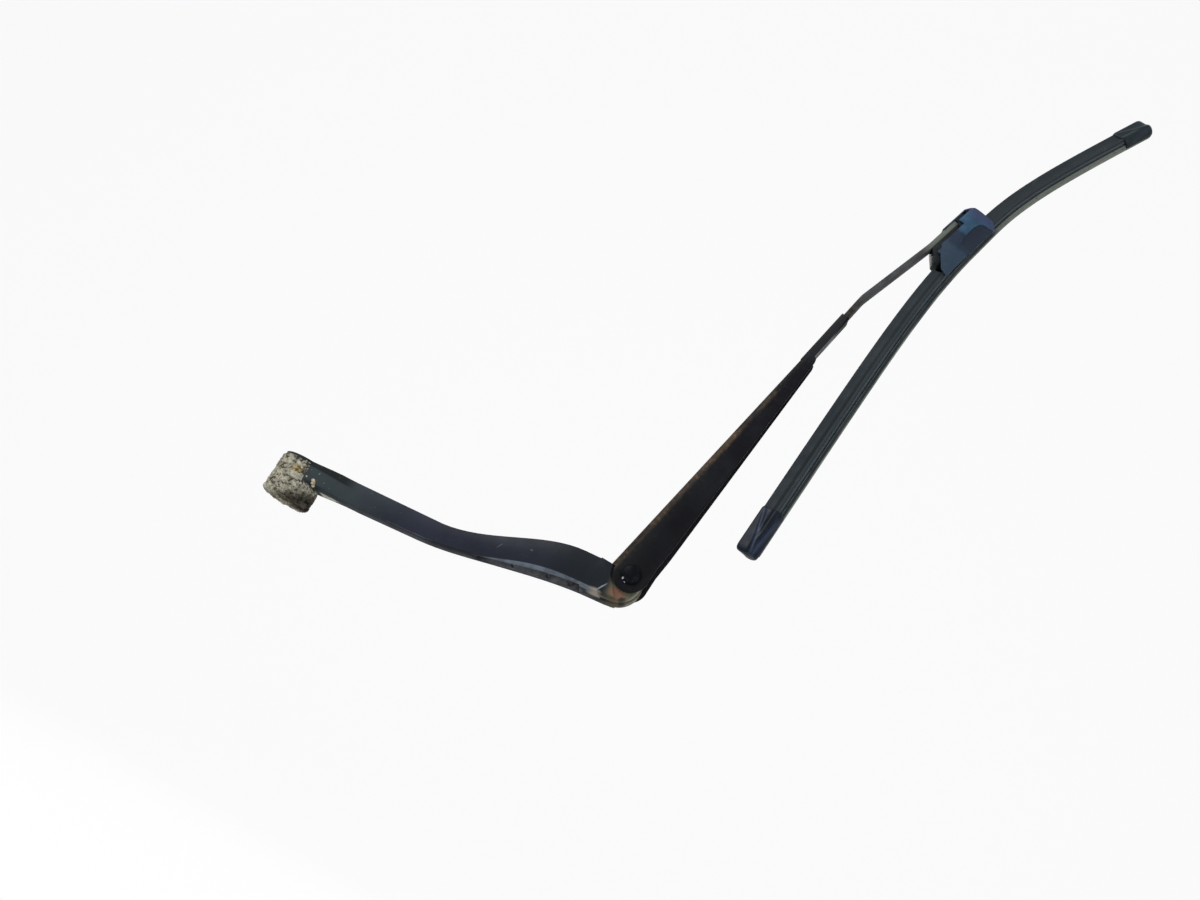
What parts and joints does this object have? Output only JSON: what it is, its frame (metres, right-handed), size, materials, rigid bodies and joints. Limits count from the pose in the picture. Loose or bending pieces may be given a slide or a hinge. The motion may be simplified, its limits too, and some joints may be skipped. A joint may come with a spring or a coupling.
{
  "type": "windscreen wiper arm",
  "caption": "Windscreen wiper arm with a cranked, soiled head, a folding spring-loaded channel, a flat bar with a J hook and a flat blade with a wind spoiler.",
  "frame": {"origin": "on the spindle axis, inside the head's spindle bore", "axes": "+Z out of the car along the spindle, +X from the spindle to the knuckle, +Y across the arm along its hinge axes; stored folded up against the lift stop"},
  "size_m": [0.4596, 0.033, 0.5801],
  "materials": {
    "head_paint": "satin, soiled at the boss",
    "channel_paint": "satin, rusty along one edge",
    "bar_steel": "worn matt",
    "bright_steel": "dull",
    "bearing_bronze": "dull",
    "adapter_plastic": "matt",
    "base_plastic": "matt",
    "spoiler_rubber": "matt",
    "wiping_rubber": "dusty matt",
    "cap_plastic": "satin"
  },
  "bodies": {
    "root": {"head": "head_paint", "bush_near": "bearing_bronze", "bush_far": "bearing_bronze", "pivot_rivet": "channel_paint", "spring_pin": "bright_steel"},
    "arm": {"channel": "channel_paint", "arm_rod": "bar_steel", "adapter_clip": "base_plastic", "adapter_cover": "adapter_plastic"},
    "hook": {"spring_hook": "bright_steel"},
    "spring": {"tension_spring": "bright_steel"},
    "blade": {"connector_base": "base_plastic", "connector_pin": "bright_steel", "spine_left": "bright_steel", "spine_right": "bright_steel", "wiper_rubber": "wiping_rubber", "spoiler_inner": "spoiler_rubber", "spoiler_outer": "spoiler_rubber", "end_cap_inner": "cap_plastic", "end_cap_outer": "cap_plastic"}
  },
  "joints": [
    {"name": "knuckle", "type": "hinge", "parent": "root", "child": "arm", "pos_m": [0.238, 0, 0.0424], "axis": [0, 1, 0], "range_deg": [0, 80]},
    {"name": "blade_pivot", "type": "hinge", "parent": "arm", "child": "blade", "pos_m": [0.34075, 0, 0.40661], "axis": [0, 1, 0], "range_deg": [-20, 5]},
    {"name": "hook_swing", "type": "hinge", "parent": "root", "child": "hook", "pos_m": [0.23234, 0, 0.03674], "axis": [0, 1, 0], "range_deg": [0, 74.88]},
    {"name": "spring_swing", "type": "hinge", "parent": "arm", "child": "spring", "pos_m": [0.25953, 0, 0.14838], "axis": [0, 1, 0], "range_deg": [-5.12, 0]}
  ],
  "couplings": [
    {"joint": "hook_swing", "follows": "knuckle", "ratio": 0.936},
    {"joint": "spring_swing", "follows": "knuckle", "ratio": -0.064}
  ]
}
